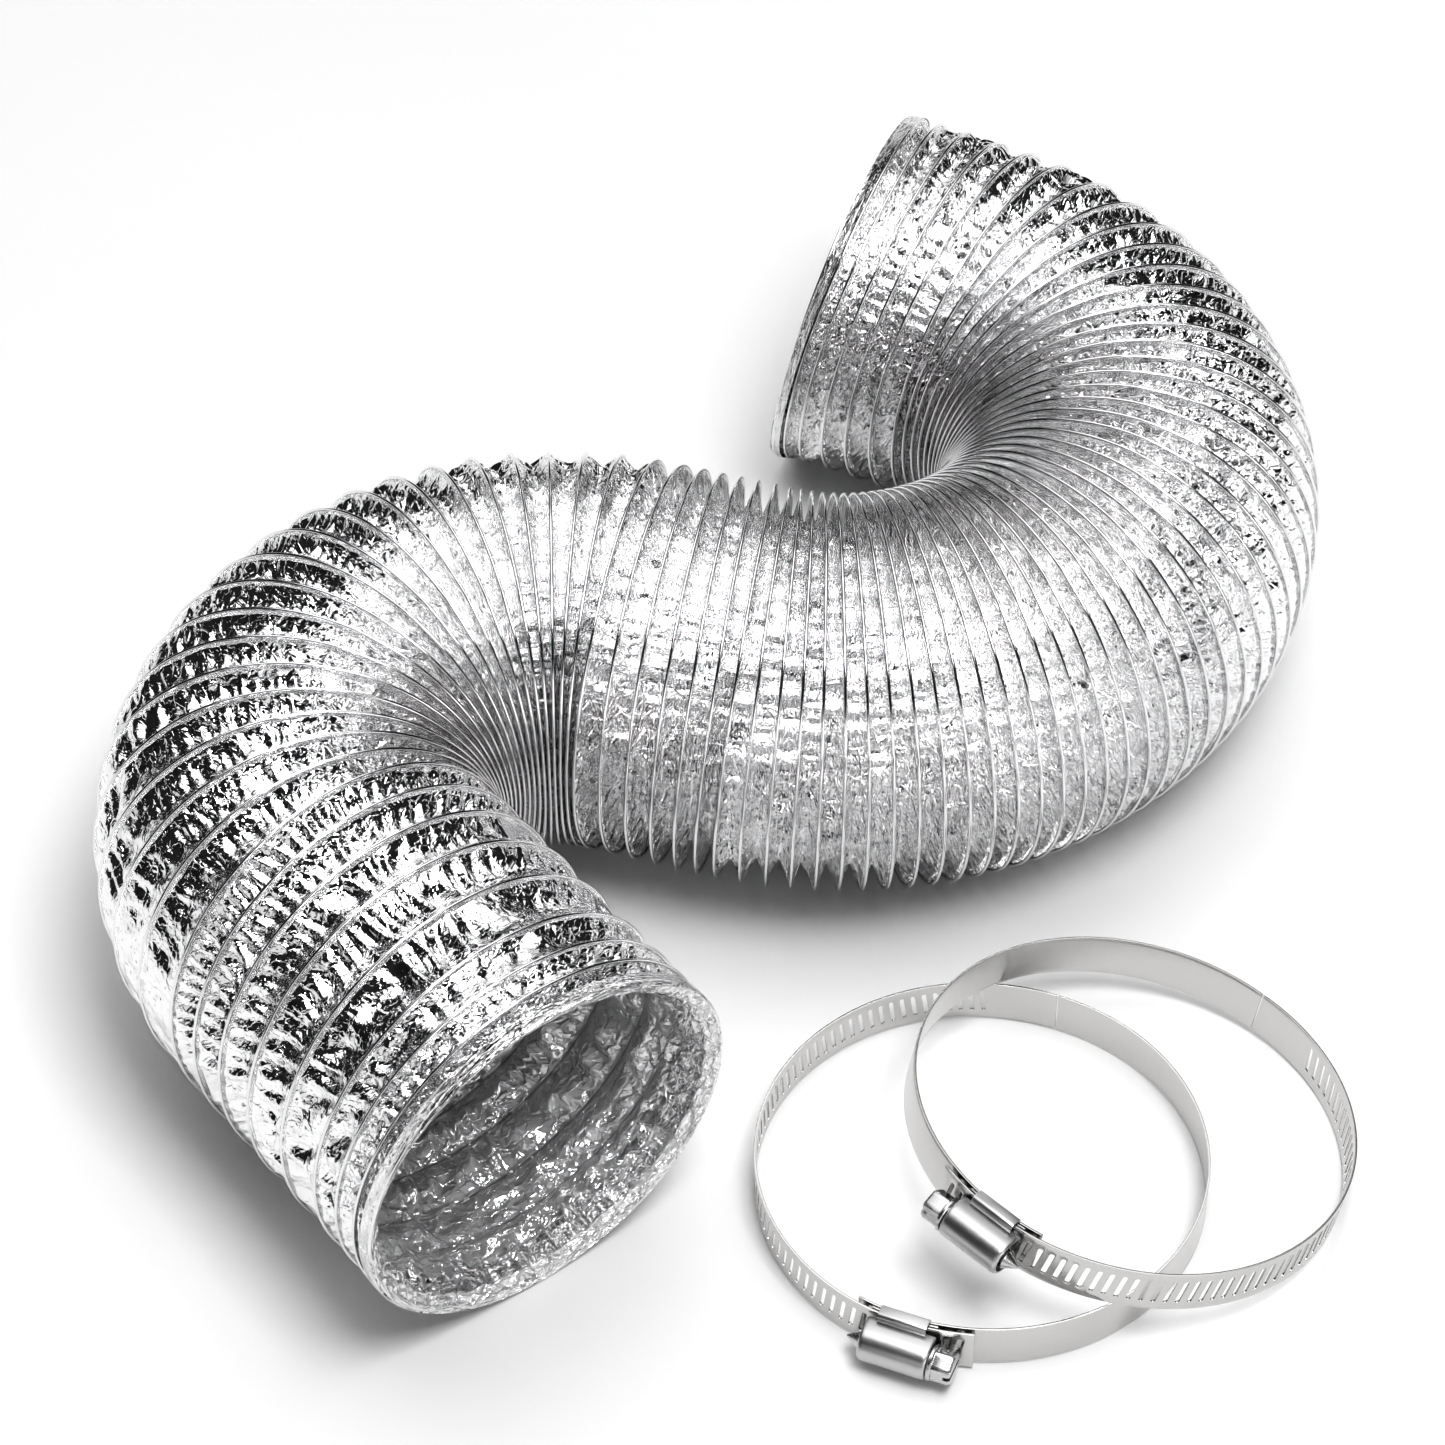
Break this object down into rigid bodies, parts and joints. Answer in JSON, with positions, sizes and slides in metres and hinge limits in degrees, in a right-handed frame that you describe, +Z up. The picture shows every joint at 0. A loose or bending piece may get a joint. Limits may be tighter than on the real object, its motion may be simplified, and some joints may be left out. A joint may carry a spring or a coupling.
{
  "type": "flexible air duct",
  "caption": "Flexible foil duct with a spring-wire helix between two plies, lying in an S, with worm-drive band clamps for its round collars.",
  "frame": {"origin": "on the floor under the middle of the duct and its clamps", "axes": "+Z up; +X along the middle stretch, from the near bend to the far bend; +Y from the near mouth towards the far mouth"},
  "size_m": [0.3316, 0.4163, 0.108],
  "materials": {
    "foil": "bright crumpled foil laminate",
    "hem_foil": "bright folded foil edge",
    "wire": "round spring wire under foil",
    "clamp_steel": "satin stainless strip",
    "screw_steel": "turned and plated steel"
  },
  "bodies": {
    "near_cuff": {"near_cuff_outer_ply": "foil", "near_cuff_wire": "wire", "near_cuff_inner_ply": "foil", "near_hem": "hem_foil"},
    "near_barrel": {"near_barrel_outer_ply": "foil", "near_barrel_wire": "wire", "near_barrel_inner_ply": "foil"},
    "near_bend_1": {"near_bend_1_outer_ply": "foil", "near_bend_1_wire": "wire", "near_bend_1_inner_ply": "foil"},
    "near_bend_2": {"near_bend_2_outer_ply": "foil", "near_bend_2_wire": "wire", "near_bend_2_inner_ply": "foil"},
    "near_bend_3": {"near_bend_3_outer_ply": "foil", "near_bend_3_wire": "wire", "near_bend_3_inner_ply": "foil"},
    "near_bend_4": {"near_bend_4_outer_ply": "foil", "near_bend_4_wire": "wire", "near_bend_4_inner_ply": "foil"},
    "near_bend_5": {"near_bend_5_outer_ply": "foil", "near_bend_5_wire": "wire", "near_bend_5_inner_ply": "foil"},
    "middle": {"middle_outer_ply": "foil", "middle_wire": "wire", "middle_inner_ply": "foil"},
    "far_bend_1": {"far_bend_1_outer_ply": "foil", "far_bend_1_wire": "wire", "far_bend_1_inner_ply": "foil"},
    "far_bend_2": {"far_bend_2_outer_ply": "foil", "far_bend_2_wire": "wire", "far_bend_2_inner_ply": "foil"},
    "far_bend_3": {"far_bend_3_outer_ply": "foil", "far_bend_3_wire": "wire", "far_bend_3_inner_ply": "foil"},
    "far_bend_4": {"far_bend_4_outer_ply": "foil", "far_bend_4_wire": "wire", "far_bend_4_inner_ply": "foil"},
    "far_bend_5": {"far_bend_5_outer_ply": "foil", "far_bend_5_wire": "wire", "far_bend_5_inner_ply": "foil"},
    "far_barrel": {"far_barrel_outer_ply": "foil", "far_barrel_wire": "wire", "far_barrel_inner_ply": "foil"},
    "far_cuff": {"far_cuff_outer_ply": "foil", "far_cuff_wire": "wire", "far_cuff_inner_ply": "foil", "far_hem": "hem_foil"},
    "lower_clamp": {"lower_clamp_head_band": "clamp_steel", "lower_clamp_saddle": "clamp_steel", "lower_clamp_housing": "clamp_steel"},
    "lower_clamp_tail": {"lower_clamp_tail_band": "clamp_steel"},
    "lower_clamp_worm": {"lower_clamp_screw": "screw_steel"},
    "upper_clamp": {"upper_clamp_head_band": "clamp_steel", "upper_clamp_saddle": "clamp_steel", "upper_clamp_housing": "clamp_steel"},
    "upper_clamp_tail": {"upper_clamp_tail_band": "clamp_steel"},
    "upper_clamp_worm": {"upper_clamp_screw": "screw_steel"}
  },
  "joints": [
    {"name": "near_bend_5_flex", "type": "hinge", "parent": "middle", "child": "near_bend_5", "pos_m": [-0.01001, 0.05334, 0.054], "axis": [0, 0, -1], "range_deg": [0, 10]},
    {"name": "near_bend_4_flex", "type": "hinge", "parent": "near_bend_5", "child": "near_bend_4", "pos_m": [-0.07007, 0.05633, 0.054], "axis": [0, 0, -1], "range_deg": [0, 10]},
    {"name": "near_bend_3_flex", "type": "hinge", "parent": "near_bend_4", "child": "near_bend_3", "pos_m": [-0.1241, 0.02992, 0.054], "axis": [0, 0, -1], "range_deg": [0, 10]},
    {"name": "near_bend_2_flex", "type": "hinge", "parent": "near_bend_3", "child": "near_bend_2", "pos_m": [-0.15864, -0.01931, 0.054], "axis": [0, 0, -1], "range_deg": [0, 10]},
    {"name": "near_bend_1_flex", "type": "hinge", "parent": "near_bend_2", "child": "near_bend_1", "pos_m": [-0.16508, -0.0791, 0.054], "axis": [0, 0, -1], "range_deg": [0, 10]},
    {"name": "near_barrel_flex", "type": "hinge", "parent": "near_bend_1", "child": "near_barrel", "pos_m": [-0.14183, -0.13456, 0.054], "axis": [0, 0, -1], "range_deg": [0, 10]},
    {"name": "far_bend_1_flex", "type": "hinge", "parent": "middle", "child": "far_bend_1", "pos_m": [-0.00948, -0.06099, 0.054], "axis": [0, 0, -1], "range_deg": [0, 10]},
    {"name": "far_bend_2_flex", "type": "hinge", "parent": "far_bend_1", "child": "far_bend_2", "pos_m": [0.06634, -0.06238, 0.054], "axis": [0, 0, -1], "range_deg": [0, 10]},
    {"name": "far_bend_3_flex", "type": "hinge", "parent": "far_bend_2", "child": "far_bend_3", "pos_m": [0.13103, -0.02281, 0.054], "axis": [0, 0, -1], "range_deg": [0, 10]},
    {"name": "far_bend_4_flex", "type": "hinge", "parent": "far_bend_3", "child": "far_bend_4", "pos_m": [0.16433, 0.04532, 0.054], "axis": [0, 0, -1], "range_deg": [0, 10]},
    {"name": "far_bend_5_flex", "type": "hinge", "parent": "far_bend_4", "child": "far_bend_5", "pos_m": [0.15581, 0.12067, 0.054], "axis": [0, 0, -1], "range_deg": [0, 10]},
    {"name": "far_barrel_flex", "type": "hinge", "parent": "far_bend_5", "child": "far_barrel", "pos_m": [0.10814, 0.17965, 0.054], "axis": [0, 0, -1], "range_deg": [0, 10]},
    {"name": "near_cuff_stretch", "type": "slide", "parent": "near_barrel", "child": "near_cuff", "axis": [0.6046, -0.7965, 0], "range_m": [0, 0.014]},
    {"name": "far_cuff_stretch", "type": "slide", "parent": "far_barrel", "child": "far_cuff", "axis": [-0.8925, 0.4511, 0], "range_m": [0, 0.012]},
    {"name": "lower_clamp_lift", "type": "slide", "parent": "middle", "child": "lower_clamp", "axis": [0, 0, 1], "range_m": [0, 0.15]},
    {"name": "upper_clamp_lift", "type": "slide", "parent": "lower_clamp", "child": "upper_clamp", "axis": [0, 0, 1], "range_m": [0, 0.15]},
    {"name": "lower_clamp_screw_turn", "type": "hinge", "parent": "lower_clamp", "child": "lower_clamp_worm", "pos_m": [0.04146, -0.19855, 0.00735], "axis": [-0.9272, 0.3746, 0], "range_deg": [-360, 360]},
    {"name": "lower_clamp_tail_pull", "type": "hinge", "parent": "lower_clamp", "child": "lower_clamp_tail", "pos_m": [0.08705, -0.08571, 0.00735], "axis": [0, 0, 1], "range_deg": [-1.5, 1.5]},
    {"name": "upper_clamp_screw_turn", "type": "hinge", "parent": "upper_clamp", "child": "upper_clamp_worm", "pos_m": [0.06184, -0.17832, 0.02677], "axis": [0.7451, -0.6584, -0.1068], "range_deg": [-360, 360]},
    {"name": "upper_clamp_tail_pull", "type": "hinge", "parent": "upper_clamp", "child": "upper_clamp_tail", "pos_m": [0.14004, -0.08686, 0.00855], "axis": [-0.1789, -0.0429, -0.9829], "range_deg": [-1.5, 1.5]}
  ],
  "couplings": [
    {"joint": "near_bend_4_flex", "follows": "near_bend_5_flex", "ratio": 1},
    {"joint": "near_bend_3_flex", "follows": "near_bend_5_flex", "ratio": 1},
    {"joint": "near_bend_2_flex", "follows": "near_bend_5_flex", "ratio": 1},
    {"joint": "near_bend_1_flex", "follows": "near_bend_5_flex", "ratio": 1},
    {"joint": "near_barrel_flex", "follows": "near_bend_5_flex", "ratio": 1},
    {"joint": "far_bend_2_flex", "follows": "far_bend_1_flex", "ratio": 1},
    {"joint": "far_bend_3_flex", "follows": "far_bend_1_flex", "ratio": 1},
    {"joint": "far_bend_4_flex", "follows": "far_bend_1_flex", "ratio": 1},
    {"joint": "far_bend_5_flex", "follows": "far_bend_1_flex", "ratio": 1},
    {"joint": "far_barrel_flex", "follows": "far_bend_1_flex", "ratio": 1},
    {"joint": "lower_clamp_tail_pull", "follows": "lower_clamp_screw_turn", "ratio": 0.0041667},
    {"joint": "upper_clamp_tail_pull", "follows": "upper_clamp_screw_turn", "ratio": 0.0041667}
  ]
}
